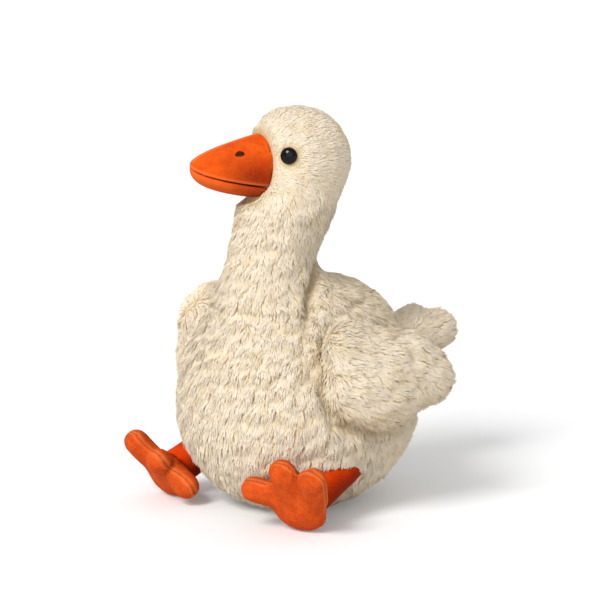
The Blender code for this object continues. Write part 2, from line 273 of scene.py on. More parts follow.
def distanceToLine(points, line):
    found = np.full(len(points), 1.0)
    for start, end in zip(line, line[1:]):
        start, run = np.array(start), np.array(end) - np.array(start)
        share = np.clip((points - start) @ run / (run @ run), 0.0, 1.0)
        found = np.minimum(found, np.linalg.norm(points - start - share[:, None] * run, axis=1))
    return found


def lumps(points, size, seed=0.0):
    # soft random heights from -1 to 1
    return np.array([noise.noise(Vector(point) / size + Vector((seed, 0.0, 0.0))) for point in points])


def bell(distance, width):
    # 1 where the distance is 0, and near 0 from two widths on
    return np.exp(-(distance / width) ** 2)


def unit(vectors):
    return vectors / np.maximum(np.linalg.norm(vectors, axis=1), 0.000001)[:, None]


def alongSkin(ways, normals):
    # directions laid flat on a skin
    return unit(ways - normals * np.sum(ways * normals, axis=1)[:, None])


def inHead(points):
    # places as measured from the middle of the head, along its own axes
    return (points - np.array(headAt)) @ np.array(headFrame.to_3x3())


def writeAttribute(made, name, values):
    kind = "FLOAT_VECTOR" if values.ndim == 2 else "FLOAT"
    key = "vector" if values.ndim == 2 else "value"
    attribute = made.data.attributes.new(name, kind, "POINT")
    attribute.data.foreach_set(key, values.astype(np.float32).ravel())


# the camera looks at the goose from its front left, a little from above
cameraLook = {
    "turn": math.radians(45), "rise": math.radians(10), "lens": 135.0, "distance": 1.6065,
    "aim": 0.1465, "aside": 0.00357, "sensor": 36.0,
}


def setCamera(look):
    turn, rise = look["turn"], look["rise"]
    right = Vector((math.cos(turn), math.sin(turn), 0.0))
    back = Vector((math.sin(turn) * math.cos(rise), -math.cos(turn) * math.cos(rise), math.sin(rise)))
    target = right * look["aside"] + Vector((0.0, 0.0, look["aim"]))
    lens = bpy.data.cameras.new("camera")
    lens.lens = look["lens"]
    lens.sensor_width = look["sensor"]
    camera = bpy.data.objects.new("camera", lens)
    camera.location = target + back * look["distance"]
    camera.rotation_euler = back.to_track_quat("Z", "Y").to_euler()
    bpy.context.scene.collection.objects.link(camera)
    bpy.context.scene.camera = camera


# pile of the body, the wings and the tail
pileLook = {
    "root": paint("D9C49D"), "tip": paint("E1D5C2"),
    # the shade colours are painted shade, laid on where the skin's shade attribute says
    "shadeRoot": paint("A88F62"), "shadeTip": paint("C4AD84"),
    "patch": 0.06, "patchSize": 0.016, "strand": 0.05, "tuft": 0.0085, "tuftShade": 0.4,
    "waver": 0.008, "waverSize": 0.006, "cloudSize": 0.012, "stitchSize": 0.0011,
}


def makePile(look):
    made, graph = startMaterial("creamPile")
    place = graph.place()
    along = graph.attribute("along")
    tint = graph.attribute("tint")
    shade = graph.attribute("shade")
    patch = graph.grain(place, look["patchSize"], 3.0)
    # painted shade: roots and tips turn to the darker shade colours where the shade attribute says
    root = graph.mix(shade, look["root"], look["shadeRoot"])
    tip = graph.mix(shade, look["tip"], look["shadeTip"])
    # darker towards the roots, as painted shade deep in the pile
    colour = graph.mix(graph.steps(along, -0.1, 0.75), root, tip)
    # darker towards the edge of each tuft, as painted shade between the tufts
    waver = graph.grain(place, look["waverSize"]).also("Color") - (0.5, 0.5, 0.5)
    cells = {"Vector": place + waver * look["waver"], "Scale": 1 / look["tuft"]}
    tuft = graph.add("ShaderNodeTexVoronoi", {"feature": "F1"}, cells, "Distance")
    colour = graph.mix(graph.steps(tuft, 0.35, 0.85) * look["tuftShade"], colour, root)
    dim = (1.0 - look["strand"] * tint) * (1.0 + look["patch"] - 2 * look["patch"] * patch)
    grey = graph.add("ShaderNodeCombineColor", None, {0: dim, 1: dim, 2: dim})
    colour = graph.mix(1.0, colour, grey, "MULTIPLY")
    endMaterial(graph, {"Base Color": colour, "Roughness": 0.9, "Specular IOR Level": 0.0})
    return made


def makeSkinMaterial(look):
    # the knitted back of the pile, seen deep between the tufts, painted in the darker root and shade colours
    # as painted shade
    made, graph = startMaterial("creamSkin")
    place = graph.place()
    fine = graph.grain(place, look["stitchSize"], 3.0)
    colour = graph.mix(graph.grain(place, look["cloudSize"], 3.0), look["root"], look["shadeTip"])
    colour = graph.mix(graph.steps(fine, 0.40, 0.80) * 0.6, colour, look["shadeTip"])
    # more painted shade where the shade attribute says
    colour = graph.mix(graph.attribute("shade"), colour, look["shadeTip"])
    bump = graph.bump(fine, 0.6, 0.0012)
    endMaterial(graph, {
        "Base Color": colour, "Roughness": 0.95, "Normal": bump, "Specular IOR Level": 0.05,
    })
    return made


wispLook = {
    "bends": (0.2, 0.4, 0.6, 0.9), "radius": 0.58, "belly": 0.45, "bellyBend": 0.25, "twist": 0.8,
    "flatness": 0.16,
}


def makeWisps(look):
    # four thin closed locks of unit length along Z, each bent its own way
    collection = bpy.data.collections.new("wisps")
    bpy.context.scene.collection.children.link(collection)
    for index, bend in enumerate(look["bends"]):
        bm = bmesh.new()
        ring = bmesh.ops.create_circle(bm, segments=3, radius=look["radius"])["verts"]
        outer = min(ring, key=lambda vert: vert.co.y)
        turn = math.atan2(outer.co.x, -outer.co.y)
        bmesh.ops.rotate(bm, verts=ring, matrix=Matrix.Rotation(-turn, 3, "Z"))
        bmesh.ops.scale(bm, verts=ring, vec=(1.0, look["flatness"], 1.0))
        edges = bm.edges[:]
        bmesh.ops.translate(bm, verts=ring, vec=(0.0, bend * look["bellyBend"], look["belly"]))
        aside = look["twist"] * (1 if index % 2 else -1) * bend
        for end in ((0.0, 0.0, 0.0), (aside, bend, 1.0)):
            rim = bmesh.ops.extrude_edge_only(bm, edges=edges)["geom"]
            corners = [part for part in rim if isinstance(part, bmesh.types.BMVert)]
            bmesh.ops.pointmerge(bm, verts=corners, merge_co=end)
        bmesh.ops.recalc_face_normals(bm, faces=bm.faces)
        heights = np.array([vert.co.z for vert in bm.verts])
        wisp = placed(f"wisp{index}", bm)
        writeAttribute(wisp, "along", heights)
        wisp.data.shade_flat()
        bpy.context.scene.collection.objects.unlink(wisp)
        collection.objects.link(wisp)
    return collection


def makeScatter(collection, look):
    # plants wisps on a skin that carries pileDensity, pileLength, pileLift and comb
    tree = bpy.data.node_groups.new("plantPile", "GeometryNodeTree")
    tree.interface.new_socket(name="Geometry", in_out="INPUT", socket_type="NodeSocketGeometry")
    tree.interface.new_socket(name="Geometry", in_out="OUTPUT", socket_type="NodeSocketGeometry")
    graph = Graph(tree)

    def read(name, kind="FLOAT"):
        return graph.add("GeometryNodeInputNamedAttribute", {"data_type": kind}, {"Name": name})

    def randomBetween(low, high, seed):
        values = {"Min": low, "Max": high, "Seed": seed}
        return graph.add("FunctionNodeRandomValue", {"data_type": "FLOAT"}, values, "Value")

    skin = graph.add("NodeGroupInput")
    points = graph.add(
        "GeometryNodeDistributePointsOnFaces", {"distribute_method": "POISSON"},
        {
            "Mesh": skin, "Distance Min": look["spacing"], "Density Factor": read("pileDensity"),
            "Density Max": look["crowding"] / look["spacing"] ** 2, "Seed": look["seed"],
        },
    )
    normal = points.also("Normal")
    place = graph.add("GeometryNodeInputPosition")
    cell = graph.add("ShaderNodeTexVoronoi", None, {"Vector": place, "Scale": 1 / look["tuft"]}, "Position")
    curl = graph.add("ShaderNodeTexNoise", None, {"Vector": place, "Scale": 1 / look["curl"]}, "Color")
    stray = graph.add(
        "FunctionNodeRandomValue", {"data_type": "FLOAT_VECTOR"},
        {"Min": (-1.0, -1.0, -1.0), "Max": (1.0, 1.0, 1.0), "Seed": 3}, "Value",
    )
    aim = read("comb", "FLOAT_VECTOR") * look["combing"] + (cell - place) * (look["tuftPull"] / look["tuft"])
    aim = aim + (curl - (0.5, 0.5, 0.5)) * look["curliness"] + stray * look["stray"]
    out = graph.add("ShaderNodeVectorMath", {"operation": "DOT_PRODUCT"}, {0: aim, 1: normal}, "Value")
    aim = aim - normal * out
    aim = graph.add("ShaderNodeVectorMath", {"operation": "NORMALIZE"}, {0: aim}) + normal * read("pileLift")
    roll = stray * look["rollStray"] - normal
    aimed = graph.add("FunctionNodeAlignRotationToVector", {"axis": "Z"}, {"Vector": aim})
    rolled = graph.add(
        "FunctionNodeAlignRotationToVector", {"axis": "Y", "pivot_axis": "Z"},
        {"Rotation": aimed, "Vector": roll},
    )
    thin, wide = look["widths"]
    short, long = look["lengths"]
    width = randomBetween(thin * look["width"], wide * look["width"], 5)
    length = read("pileLength") * randomBetween(short, long, 6)
    size = graph.add("ShaderNodeCombineXYZ", None, {"X": width, "Y": width, "Z": length})
    shapes = graph.add("GeometryNodeCollectionInfo", None, {
        "Collection": collection, "Separate Children": True, "Reset Children": True,
    })
    chosen = graph.add(
        "FunctionNodeRandomValue", {"data_type": "INT"},
        {"Min": 0, "Max": len(collection.objects) - 1, "Seed": 7}, "Value",
    )
    planted = graph.add("GeometryNodeInstanceOnPoints", None, {
        "Points": points, "Instance": shapes, "Pick Instance": True, "Instance Index": chosen,
        "Rotation": rolled, "Scale": size,
    })
    tinted = graph.add(
        "GeometryNodeStoreNamedAttribute", {"data_type": "FLOAT", "domain": "INSTANCE"},
        {"Geometry": planted, "Name": "tint", "Value": randomBetween(0.0, 1.0, 9)},
    )
    joined = graph.add("GeometryNodeRealizeInstances", None, {"Geometry": tinted})
    graph.add("NodeGroupOutput", None, {"Geometry": joined})
    return tree


scatterLook = {
    "spacing": 0.00069, "seed": 1, "tuft": 0.0060, "curl": 0.0075, "combing": 0.75, "tuftPull": 0.42,
    "curliness": 1.8, "stray": 0.13, "rollStray": 0.05, "width": 0.00098, "widths": (0.7, 1.3),
    "lengths": (0.72, 1.15), "crowding": 2.2, "floorClear": 0.0004,
}
# the pile of the head lies smoother
headScatter = {"spacing": 0.00072, "width": 0.0011, "curliness": 0.9, "tuftPull": 0.35, "tuft": 0.0045}
pileKeeps = (
    "position", "sharp_face", "along", "tint", "shade", ".edge_verts", ".corner_vert", ".corner_edge",
)


def plantPile(name, skin, mask, look, finish):
    # copies the skin, plants it where the mask lets it and keeps the wisps as one mesh
    pile = bpy.data.objects.new(name, skin.data.copy())
    bpy.context.scene.collection.objects.link(pile)
    density = np.zeros(len(mask), dtype=np.float32)
    pile.data.attributes["pileDensity"].data.foreach_get("value", density)
    pile.data.attributes["pileDensity"].data.foreach_set("value", (density * mask).astype(np.float32))
    scatter = pile.modifiers.new("plant", "NODES")
    scatter.node_group = makeScatter(wisps, look)
    applyModifiers(pile)
    for attribute in [part.name for part in pile.data.attributes if part.name not in pileKeeps]:
        if not pile.data.attributes[attribute].is_required:
            pile.data.attributes.remove(pile.data.attributes[attribute])
    points = surfaceOf(pile)[0]
    points[:, 2] = np.maximum(points[:, 2], look["floorClear"])
    moveTo(pile, points)
    pile.data.materials.clear()
    pile.data.materials.append(finish)
    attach(pile, "root")
    print(name, len(pile.data.polygons), "faces")


def writePile(skin, density, length, lift, comb, shade):
    writeAttribute(skin, "pileDensity", density)
    writeAttribute(skin, "pileLength", length)
    writeAttribute(skin, "pileLift", lift)
    writeAttribute(skin, "comb", comb)
    writeAttribute(skin, "shade", shade)


# eyes
eyeLook = {
    "radius": 0.006, "dome": 0.0038, "rim": 0.0008, "edge": 0.0003, "pocket": 0.0012,
    "side": math.radians(54.5), "rise": math.radians(4.5), "steps": 64, "arcSteps": 14,
}


def headDirection(side, turn, rise):
    flat = math.cos(rise)
    local = Vector((side * math.sin(turn) * flat, -math.cos(turn) * flat, math.sin(rise)))
    return headFrame.to_3x3() @ local


def eyePlace(name):
    # the frame of an eye, a little under its dome and with Z outwards, read from its CAD node
    direction = headDirection(sides[name], eyeLook["side"], eyeLook["rise"])
    node = frame["nodes"][f"eye_{name}"].data
    reach = max(direction.dot(vert.co - Vector(headAt)) for vert in node.vertices)
    point = Vector(headAt) + direction * (reach - eyeLook["dome"] - eyeLook["rim"] + eyeLook["pocket"])
    return Matrix.Translation(point) @ direction.to_track_quat("Z", "Y").to_matrix().to_4x4()


def makeEye(name, look, finish):
    # half of a rounded button, spun round its stem
    bm = bmesh.new()
    back = -look["pocket"]
    profile = [(0.0, back), (look["radius"] - look["edge"], back), (look["radius"], back + look["edge"])]
    for step in range(look["arcSteps"] + 1):
        angle = math.pi / 2 * step / look["arcSteps"]
        height = back + look["rim"] + look["dome"] * math.sin(angle)
        profile.append((look["radius"] * math.cos(angle), height))
    verts = [bm.verts.new((radius, 0.0, height)) for radius, height in profile]
    edges = [bm.edges.new(pair) for pair in zip(verts, verts[1:])]
    bmesh.ops.spin(
        bm, geom=verts + edges, cent=(0.0, 0.0, 0.0), axis=(0.0, 0.0, 1.0), angle=2 * math.pi,
        steps=look["steps"], use_merge=True,
    )
    bmesh.ops.remove_doubles(bm, verts=bm.verts, dist=0.00001)
    bmesh.ops.recalc_face_normals(bm, faces=bm.faces)
    bm.transform(eyePlace(name))
    eye = placed(f"eyeDome_{name}", bm, finish)
    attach(eye, "root")
    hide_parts(f"eye_{name}")


def makeEyeGloss():
    made, graph = startMaterial("blackGloss")
    place = graph.place()
    dust = graph.grain(place, 0.0016, 4.0)
    roughness = 0.04 + 0.05 * graph.steps(dust, 0.5, 0.8)
    colour = graph.mix(graph.grain(place, 0.004, 2.0), paint("040303"), paint("0C0807"))
    endMaterial(graph, {
        "Base Color": colour, "Roughness": roughness, "Specular IOR Level": 0.24, "IOR": 1.5,
    })
    return made


# body: belly, back, chest, neck and head in one bag
bodyLook = {
    "roundings": 1, "grain": 0.0027, "relaxRounds": 5, "stand": 0.20,
    "tuftHeight": 0.0016, "tuftSize": 0.0080, "headTufts": 0.3, "neckTufts": 0.7,
    "plugDepth": 0.0034, "plugSize": (0.007, 0.007, 0.003), "floorClear": 0.0008,
    "headFrom": (0.212, 0.236), "neckFrom": (0.140, 0.165), "backFrom": (-0.005, 0.045),
    "headLength": 0.0055, "neckLength": 0.0062, "torsoLength": 0.0074, "headCalm": 0.8, "backCalm": 0.5,
    # shares of the pile's length that are left close to something, and from where to where it grows
    "shortened": {
        "beak": (0.30, 0.0, 0.014), "eye": (0.35, 0.0065, 0.0110), "leg": (0.45, 0.001, 0.008),
        "floor": (0.30, 0.0, 0.014),
    },
    # no wisps are planted nearer than this
    "bare": {"wing": -0.0010, "tail": -0.0010, "eye": 0.0060, "beak": 0.0004, "leg": 0.0006},
    "frontWay": (0.0, -0.1, -1.0), "backWay": (0.0, 0.75, -0.65), "beakRoot": (0.0, -0.040, 0.0),
    "eyePush": 0.5, "eyePushTo": (0.007, 0.013), "lift": 0.31, "calmLift": 0.10,
    "creaseDepth": 0.0066, "creaseWidth": 0.0045, "creaseFrom": (0.128, 0.152),
    "crease": (
        (0.0216, 0.0024, 0.1761), (0.0266, -0.0047, 0.1704), (0.0339, -0.0151, 0.1632),
        (0.0402, -0.0244, 0.1546), (0.0465, -0.0336, 0.1439), (0.0518, -0.0428, 0.1318),
    ),
    "wingLine": (
        (0.0518, -0.0428, 0.1318), (0.0553, -0.0473, 0.1232), (0.0607, -0.0470, 0.1141),
        (0.0671, -0.0447, 0.1015), (0.0716, -0.0414, 0.0877), (0.0757, -0.0348, 0.0747),
        (0.0789, -0.0232, 0.0655),
    ),
    "wingLineShare": 0.45, "wingTuck": 0.0015, "wingTuckWidth": 0.0050, "creaseTrim": 0.45,
    "beakSink": 0.0032, "beakSinkTo": (0.001, 0.007), "chinSink": 0.9, "chinTo": (-0.020, -0.008),
    "tailSwell": 0.0050, "tailSwellWidth": 0.0090,
    # how much painted shade falls on the back, beside the wings, in the creases, under the tufts, low down
    # and round the beak and the eyes
    "backShade": 0.12, "backShadeFrom": (0.09, 0.13), "wingShade": (0.45, 0.4), "wingShadeFrom": (0.11, 0.13),
    "creaseShade": 0.5, "tuftShade": 0.4, "tuftSlope": 2.2, "lowShade": 0.35, "lowShadeTo": (0.0, 0.03),
    "beakShade": 0.8, "beakShadeTo": (0.0, 0.007), "eyeShadeTo": (0.0062, 0.0080),
    "seat": 0.0012, "torsoTop": 0.150, "headBottom": 0.216, "frontTurn": 60,
}


def makeBodySkin(look, finish):
    bm = mergedCopy("body")
    for name in sides:
        plug = Matrix.Translation((0.0, 0.0, -look["plugDepth"])) @ Matrix.Diagonal((*look["plugSize"], 1.0))
        bmesh.ops.create_uvsphere(bm, u_segments=24, v_segments=12, radius=1.0, matrix=eyePlace(name) @ plug)
    skin = placed("bodySkin", bm, finish)
    softened(skin, look)
    points, normals = surfaceOf(skin)
    height = points[:, 2]
    headShare = smoothStep(*look["headFrom"], height)
    neckShare = smoothStep(*look["neckFrom"], height) * (1.0 - headShare)
    backShare = smoothStep(*look["backFrom"], points[:, 1]) * (1.0 - headShare)
    calm = np.maximum(headShare * look["headCalm"], backShare * look["backCalm"])

    eyeGap = np.full(len(points), 1.0)
    fromEye = np.zeros_like(points)
    for name in sides:
        away = points - np.array(eyePlace(name).translation)
        gap = np.linalg.norm(away, axis=1)
        fromEye = np.where((gap < eyeGap)[:, None], away, fromEye)
        eyeGap = np.minimum(eyeGap, gap)
    gaps = {
        "beak": distanceTo(points, treeOf("beak_upper", "beak_lower")),
        "leg": distanceTo(points, treeOf("leg_left", "leg_right", "foot_left", "foot_right")),
        "wing": distanceTo(points, treeOf("wing_left", "wing_right")),
        "tail": distanceTo(points, treeOf("tail")),
        "eye": eyeGap, "floor": height,
    }
    besideWing = bell(np.maximum(gaps["wing"], 0.0), look["wingTuckWidth"])
    besideTail = bell(np.maximum(gaps["tail"], 0.0), look["tailSwellWidth"])
    lines = {}
    for line in ("crease", "wingLine"):
        near = [distanceToLine(part, look[line]) for part in (points, points * (-1, 1, 1))]
        lines[line] = bell(np.minimum(*near), look["creaseWidth"])

    length = look["torsoLength"] + (look["neckLength"] - look["torsoLength"]) * neckShare
    length = length * (1.0 - headShare) + look["headLength"] * headShare
    for part, (least, near, far) in look["shortened"].items():
        length *= least + (1.0 - least) * smoothStep(near, far, gaps[part])

    # combed down in front, backwards over the back and away from the beak and the eyes
    flow = np.array(look["frontWay"]) * (1.0 - backShare)[:, None]
    flow = flow + np.array(look["backWay"]) * backShare[:, None]
    beakRoot = np.array(headFrame @ Vector(look["beakRoot"]))
    flow = flow * (1.0 - headShare)[:, None] + unit(points - beakRoot) * headShare[:, None]
    flow += unit(fromEye) * (look["eyePush"] * (1.0 - smoothStep(*look["eyePushTo"], eyeGap)))[:, None]
    flow = alongSkin(flow, normals) * (1.0 + calm)[:, None]

    rough = 1.0 - (1.0 - look["headTufts"]) * headShare - (1.0 - look["neckTufts"]) * neckShare
    depth = look["stand"] * length + look["tuftHeight"] * lumps(points, look["tuftSize"]) * rough
    chinShare = 1.0 - smoothStep(*look["chinTo"], inHead(points)[:, 2])
    besideBeak = 1.0 - smoothStep(*look["beakSinkTo"], gaps["beak"])
    depth = np.maximum(depth, look["beakSink"] * (1.0 + look["chinSink"] * chinShare) * besideBeak)
    crease = lines["crease"] * smoothStep(*look["creaseFrom"], height)
    crease = np.maximum(crease, look["wingLineShare"] * lines["wingLine"])
    depth += look["creaseDepth"] * crease + look["wingTuck"] * besideWing - look["tailSwell"] * besideTail
    length *= 1.0 - look["creaseTrim"] * crease
    points = points - normals * depth[:, None]
    points[:, 2] = np.maximum(points[:, 2], look["floorClear"])
    moveTo(skin, points)

    # painted shade: warmer and darker on the back, in the hollows and creases, beside the wings, on the
    # undersides of the tufts, low down near the floor and round the beak and the eyes
    underTuft = np.clip(look["tuftSlope"] * (normals[:, 2] - surfaceOf(skin)[1][:, 2]), 0.0, 1.0)
    backShade = look["backShade"] * (1.0 + smoothStep(*look["backShadeFrom"], height))
    lower, added = look["wingShade"]
    wingShade = lower + added * smoothStep(*look["wingShadeFrom"], height)
    shade = backShade * backShare + look["creaseShade"] * crease ** 2 + wingShade * besideWing
    shade += look["tuftShade"] * underTuft * (1.0 - 0.5 * headShare)
    shade += look["lowShade"] * (1.0 - smoothStep(*look["lowShadeTo"], height))
    shade += look["beakShade"] * (1.0 - smoothStep(*look["beakShadeTo"], gaps["beak"]))
    shade += 1.0 - smoothStep(*look["eyeShadeTo"], eyeGap)

    # nothing is planted on the seat either
    hidden = (height < look["seat"]) & (normals[:, 2] < -0.8)
    for part, least in look["bare"].items():
        hidden |= gaps[part] < least
    lift = look["lift"] - look["calmLift"] * calm
    writePile(skin, np.where(hidden, 0.0, 1.0), length, lift, flow, np.clip(shade, 0.0, 1.0))
    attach(skin, "root")
    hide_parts("body")
    return skin


def plantBody(skin, look, finish):
    # in five pieces, so that none is too large
    points = surfaceOf(skin)[0]
    turn = np.degrees(np.arctan2(points[:, 0], -points[:, 1]))
    torso = points[:, 2] < look["torsoTop"]
    head = points[:, 2] > look["headBottom"]
    side = look["frontTurn"]
    masks = {
        "pileHead": head, "pileNeck": ~head & ~torso, "pileBreast": torso & (np.abs(turn) < side),
        "pileBackLeft": torso & (turn >= side), "pileBackRight": torso & (turn <= -side),
    }
    for name, mask in masks.items():
        scatter = {**scatterLook, **headScatter} if name == "pileHead" else scatterLook
        plantPile(name, skin, mask.astype(float), scatter, finish)


# wings
wingLook = {
    "roundings": 1, "grain": 0.0024, "relaxRounds": 4, "depth": 0.0028,
    "tuftHeight": 0.0010, "tuftSize": 0.010,
    "length": 0.0070, "lift": 0.30, "way": (0.15, 0.85, -0.5), "lowShade": 0.45, "bare": 0.0008,
    # the middles and half sizes of the rounds that fill the tip, and the shoulder on the right
    "fills": {
        "left": (
            ((0.001, 0.056, 0.004), (0.0150, 0.0300, 0.0300)),
            ((0.001, 0.070, 0.010), (0.0120, 0.0165, 0.0160)),
        ),
        "right": (
            ((-0.001, 0.056, 0.004), (0.0150, 0.0300, 0.0300)),
            ((-0.001, 0.070, 0.010), (0.0120, 0.0165, 0.0160)),
            ((0.006, 0.020, 0.029), (0.0200, 0.0270, 0.0250)),
        ),
    },
    "at": (0.076, -0.036, 0.1025), "turn": math.radians(15), "tilt": math.radians(8),
}


def wingFrame(side, look):
    across, along, up = look["at"]
    place = Matrix.Translation((side * across, along, up))
    turned = place @ Matrix.Rotation(-side * look["turn"], 4, "Z")
    return turned @ Matrix.Rotation(-side * look["tilt"], 4, "Y")


def makeWing(name, look, finish, pile):
    wing = wingFrame(sides[name], look)
    bm = mergedCopy(f"wing_{name}")
    for fillAt, fillSize in look["fills"][name]:
        place = wing @ Matrix.Translation(fillAt) @ Matrix.Diagonal((*fillSize, 1.0))
        bmesh.ops.create_uvsphere(bm, u_segments=32, v_segments=16, radius=1.0, matrix=place)
    skin = placed(f"wingSkin_{name}", bm, finish)
    softened(skin, look)
    points, normals = surfaceOf(skin)
    bodyGap = distanceTo(points, treeOf("body"))
    depth = look["depth"] + look["tuftHeight"] * lumps(points, look["tuftSize"], 7.0)
    depth *= 0.3 + 0.7 * smoothStep(0.0, 0.006, bodyGap)
    flow = alongSkin(np.array(wing.to_3x3() @ Vector(look["way"])), normals)
    length = np.full(len(points), look["length"])
    lift = np.full(len(points), look["lift"])
    density = np.where(bodyGap < look["bare"], 0.0, 1.0)
    # painted shade on the underside, where the skin faces down
    shade = look["lowShade"] * (1.0 - smoothStep(-0.6, 0.1, normals[:, 2]))
    moveTo(skin, points - normals * depth[:, None])
    writePile(skin, density, length, lift, flow, shade)
    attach(skin, "root")
    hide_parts(f"wing_{name}")
    plantPile(f"pileWing_{name}", skin, np.ones(len(points)), scatterLook, pile)


# tail
tailLook = {
    "roundings": 1, "grain": 0.0022, "relaxRounds": 3, "depth": 0.0020, "rootSwell": 0.0045,
    "rootRun": 0.012, "length": 0.0062, "lift": 0.36, "bare": 0.0008,
    "endSlope": (0.0, 0.80, -0.60), "endStart": 0.42, "endBlend": 0.04, "endTrim": 0.35, "endShade": 0.5,
    "seamWidth": 0.08, "seamDepth": 0.0016, "seamShade": 0.35,
}


def makeTail(look, finish, pile):
    skin = placed("tailSkin", mergedCopy("tail"), finish)
    softened(skin, look)
    points, normals = surfaceOf(skin)
    bodyGap = distanceTo(points, treeOf("body"))
    depth = look["depth"] - look["rootSwell"] * (1.0 - smoothStep(0.0, look["rootRun"], bodyGap))
    turned = tailFrame.to_3x3()
    endWay = normals @ np.array(turned @ Vector(look["endSlope"]))
    flow = alongSkin(np.array(turned @ Vector((0.0, 1.0, 0.0))), normals)
    panel = smoothStep(look["endStart"] - look["endBlend"], look["endStart"] + look["endBlend"], endWay)
    seam = bell(endWay - look["endStart"], look["seamWidth"])
    moveTo(skin, points - normals * (depth + look["seamDepth"] * seam)[:, None])
    length = look["length"] * (1.0 - look["endTrim"] * panel)
    lift = np.full(len(points), look["lift"])
    density = np.where(bodyGap < look["bare"], 0.0, 1.0)
    shade = np.clip(look["endShade"] * panel + look["seamShade"] * seam, 0.0, 1.0)
    writePile(skin, density, length, lift, flow, shade)
    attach(skin, "root")
    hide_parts("tail")
    plantPile("pileTail", skin, np.ones(len(points)), scatterLook, pile)


# velour of the beak and the feet, whose own values give its colours
velourLook = {
    # the shares of the painted shade and of the painted sheen on marked edges
    "mottleSize": 0.0075, "napSize": 0.00075, "lumpSize": 0.0022, "paintedShadeShare": 0.92, "edgeShare": 0.8,
    "bumpStrength": 0.35, "bumpHeight": 0.0005,
}


def makeVelour(name, look):
    made, graph = startMaterial(name)
    place = graph.place()
    mottle = graph.grain(place, velourLook["mottleSize"], 3.0, 0.55)
    napAndPaintedSheen = graph.grain(place, velourLook["napSize"], 3.0, 0.6)
    colour = graph.mix(graph.steps(mottle, 0.3, 0.7), look["deep"], look["main"])
    # painted shade, towards the darkest colour where the mesh asks for it
    colour = graph.mix(graph.attribute("paintedShade") * velourLook["paintedShadeShare"], colour, look["paintedShade"])
    colour = graph.mix(graph.steps(napAndPaintedSheen, 0.42, 0.78) * look["napShare"], colour, look["light"])
    # painted sheen: lighter along the edges and seams that the mesh marks
    colour = graph.mix(graph.attribute("napAndPaintedSheen") * velourLook["edgeShare"], colour, look["light"])
    height = napAndPaintedSheen * 0.7 + graph.grain(place, velourLook["lumpSize"], 2.0) * 0.6
    bump = graph.bump(height, velourLook["bumpStrength"], velourLook["bumpHeight"])
    endMaterial(graph, {
        "Base Color": colour, "Roughness": 0.8, "Normal": bump, "Specular IOR Level": 0.07,
        "Sheen Weight": look["sheen"], "Sheen Roughness": 0.35, "Sheen Tint": look["light"],
    })
    return made


# beak
beakLook = {
    "start": 0.016, "root": 0.030, "reach": 0.083, "width": 0.043, "ridge": 0.0165, "mouth": 0.0203,
    "tipDrop": 0.004, "fullShare": 0.997,
    "lip": 0.003, "lowerWidth": 0.0405, "lowerDepth": 0.0077, "mouthCurve": 0.45, "ridgeCurve": 0.60,
    "sideCurve": 0.625, "chinCurve": 7, "mouthFlatness": 0.5, "ridgeFullness": 0.88, "gap": 0.00005,
    "stations": 56, "points": 128, "seamDepth": 0.0006, "seamWidth": 0.0009, "seamAside": 0.0016,
    "deep": paint("C44207"), "main": paint("D7520A"), "light": paint("EC7A3C"), "paintedShade": paint("7E1C01"),
    "napShare": 0.22, "sheen": 0.03, "edgeRise": 0.0012, "edgeWidth": 0.0011, "seamLight": 0.0008,
    "paintedShadeFrom": (0.2, 0.8), "paintedShadeTo": (0.005, 0.026), "lowerPaintedShadeFrom": (0.2, 0.85),
}


def bent(value, power):
    return math.copysign(abs(value) ** power, value)


